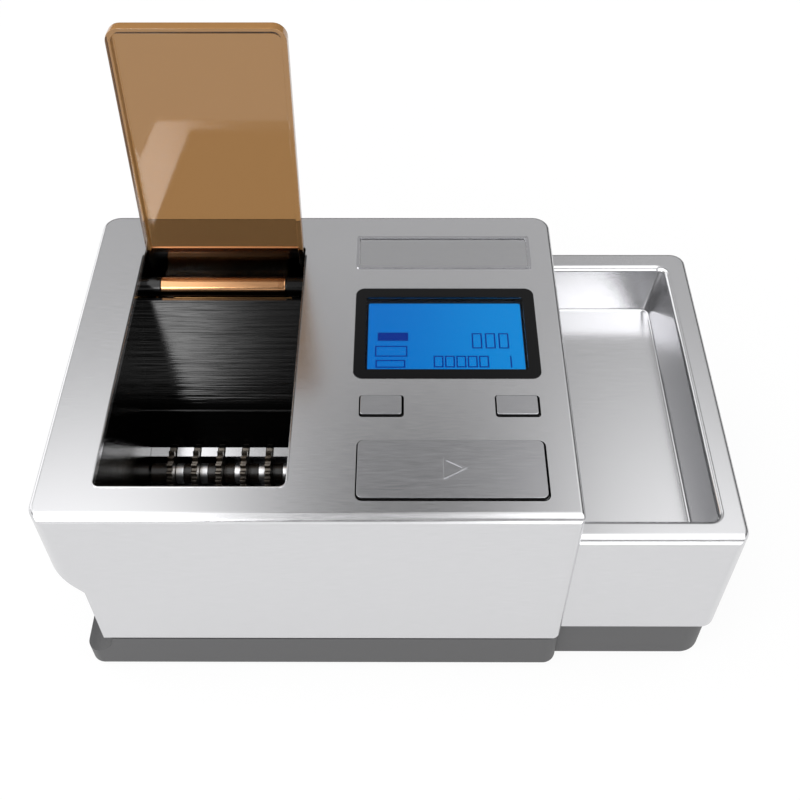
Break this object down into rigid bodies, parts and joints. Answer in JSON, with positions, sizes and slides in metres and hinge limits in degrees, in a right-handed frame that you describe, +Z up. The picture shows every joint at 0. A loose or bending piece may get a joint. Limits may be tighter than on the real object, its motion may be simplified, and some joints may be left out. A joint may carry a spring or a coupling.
{
  "type": "tube filling machine",
  "caption": "Table-top electric tube filling machine: hopper with feed wheels under a hinged amber lid, display, keys, side nozzle and a pull-out tray.",
  "frame": {"origin": "on the table, under the middle of the whole object as it stands with its tray out and its lid open", "axes": "+X to the right, the way the tray slides out; +Y to the back; +Z up"},
  "size_m": [0.2894, 0.1782, 0.2312],
  "materials": {
    "shell_silver": "satin silver, fine brushed grain",
    "base_grey": "moulded, fine matt texture",
    "rubber": "matt",
    "plate": "brushed",
    "gloss_black": "polished",
    "clear_window": "clear",
    "lcd_blue": "backlit blue",
    "board_green": "solder mask",
    "switch_black": "moulded",
    "hopper_black": "glossy moulding",
    "bright_steel": "polished",
    "machined_alloy": "machined",
    "frame_steel": "zinc plated",
    "amber_lid": "smoked amber, see-through",
    "key_silver": "satin silver",
    "spring_steel": "drawn wire",
    "gear_plastic": "natural acetal",
    "bush_bronze": "sintered bronze",
    "motor_can": "drawn can",
    "gear_brass": "cut brass",
    "coil_dark": "wrapped coil in a frame"
  },
  "bodies": {
    "housing": {"top_shell": "shell_silver", "base_pan": "base_grey", "rubber_feet": "rubber", "nameplate": "plate", "display_frame": "gloss_black", "display_window": "clear_window", "lcd_module": "lcd_blue", "control_board": "board_green", "tact_switches": "switch_black", "hopper": "hopper_black", "comb_plate": "bright_steel", "chamber_block": "machined_alloy", "nozzle_plate": "bright_steel", "nozzle": "bright_steel", "frame_left": "frame_steel", "frame_right": "frame_steel", "hinge_pin": "bright_steel", "bay_liner": "base_grey", "start_springs": "spring_steel", "key_springs": "spring_steel", "shaft_bushes": "bush_bronze", "feed_motor": "motor_can", "idler_pin": "bright_steel", "drive_motor": "motor_can", "guide_rods": "bright_steel", "tamper_solenoid": "coil_dark", "clamp_pin": "bright_steel", "power_board": "board_green", "power_inlet": "switch_black", "switch_housing": "switch_black"},
    "lid": {"lid": "amber_lid"},
    "tray": {"tray_shell": "shell_silver", "tray_base": "base_grey"},
    "start_key": {"start_button": "key_silver"},
    "left_small_key": {"left_key": "key_silver"},
    "right_small_key": {"right_key": "key_silver"},
    "feed": {"feed_shaft": "bright_steel", "feed_wheels": "bright_steel", "feed_collars": "bright_steel", "feed_sleeves": "gloss_black", "feed_gear": "gear_plastic"},
    "feed_motor_rotor": {"feed_pinion": "gear_brass"},
    "screw": {"lead_screw": "bright_steel", "screw_gear": "gear_plastic"},
    "idler": {"idler_gear": "gear_plastic"},
    "drive_rotor": {"drive_pinion": "gear_brass"},
    "carriage": {"spoon_carriage": "gear_plastic", "spoon": "bright_steel"},
    "tamper": {"tamper_bar": "machined_alloy"},
    "clamp": {"tube_clamp": "base_grey", "clamp_pad": "rubber"},
    "rocker": {"power_rocker": "switch_black"}
  },
  "joints": [
    {"name": "lid_hinge", "type": "hinge", "parent": "housing", "child": "lid", "pos_m": [-0.0791, 0.05285, 0.10755], "axis": [1, 0, 0], "range_deg": [0, 96]},
    {"name": "tray_slide", "type": "slide", "parent": "housing", "child": "tray", "axis": [1, 0, 0], "range_m": [-0.0691, 0]},
    {"name": "start_press", "type": "slide", "parent": "housing", "child": "start_key", "axis": [0, 0, -1], "range_m": [0, 0.0012], "stiffness_N_per_m": 600, "springref_m": -0.002, "deforming": ["start_springs"]},
    {"name": "left_key_press", "type": "slide", "parent": "housing", "child": "left_small_key", "axis": [0, 0, -1], "range_m": [0, 0.0012], "stiffness_N_per_m": 400, "springref_m": -0.002, "deforming": ["key_springs"]},
    {"name": "right_key_press", "type": "slide", "parent": "housing", "child": "right_small_key", "axis": [0, 0, -1], "range_m": [0, 0.0012], "stiffness_N_per_m": 400, "springref_m": -0.002, "deforming": ["key_springs"]},
    {"name": "feed_spin", "type": "hinge", "parent": "housing", "child": "feed", "pos_m": [-0.07925, -0.00765, 0.0403], "axis": [1, 0, 0], "continuous": true},
    {"name": "feed_motor_spin", "type": "hinge", "parent": "housing", "child": "feed_motor_rotor", "pos_m": [-0.04025, 0.01422, 0.02768], "axis": [1, 0, 0], "continuous": true},
    {"name": "screw_spin", "type": "hinge", "parent": "housing", "child": "screw", "pos_m": [-0.08025, -0.02715, 0.014], "axis": [1, 0, 0], "range_deg": [0, 1050]},
    {"name": "idler_spin", "type": "hinge", "parent": "housing", "child": "idler", "pos_m": [-0.03625, -0.04414, 0.01699], "axis": [1, 0, 0], "range_deg": [-736, 0]},
    {"name": "drive_spin", "type": "hinge", "parent": "housing", "child": "drive_rotor", "pos_m": [-0.04025, -0.06033, 0.01841], "axis": [1, 0, 0], "range_deg": [0, 1226]},
    {"name": "carriage_slide", "type": "slide", "parent": "housing", "child": "carriage", "axis": [-1, 0, 0], "range_m": [0, 0.07]},
    {"name": "tamper_slide", "type": "slide", "parent": "housing", "child": "tamper", "axis": [0, 1, 0], "range_m": [0, 0.0068], "stiffness_N_per_m": 120, "springref_m": -0.004},
    {"name": "clamp_swing", "type": "hinge", "parent": "housing", "child": "clamp", "pos_m": [-0.13285, -0.02715, 0.044], "axis": [0, -1, 0], "range_deg": [0, 10], "stiffness_Nm_per_rad": 0.004, "springref_deg": -20.05},
    {"name": "rocker_tilt", "type": "hinge", "parent": "housing", "child": "rocker", "pos_m": [-0.06625, 0.08215, 0.052], "axis": [0, 0, 1], "range_deg": [-14, 0]}
  ],
  "couplings": [
    {"joint": "feed_motor_spin", "follows": "feed_spin", "ratio": -3.1667},
    {"joint": "screw_spin", "follows": "carriage_slide", "rad_per_m": 261.8},
    {"joint": "idler_spin", "follows": "carriage_slide", "rad_per_m": -183.26},
    {"joint": "drive_spin", "follows": "carriage_slide", "rad_per_m": 305.43}
  ]
}
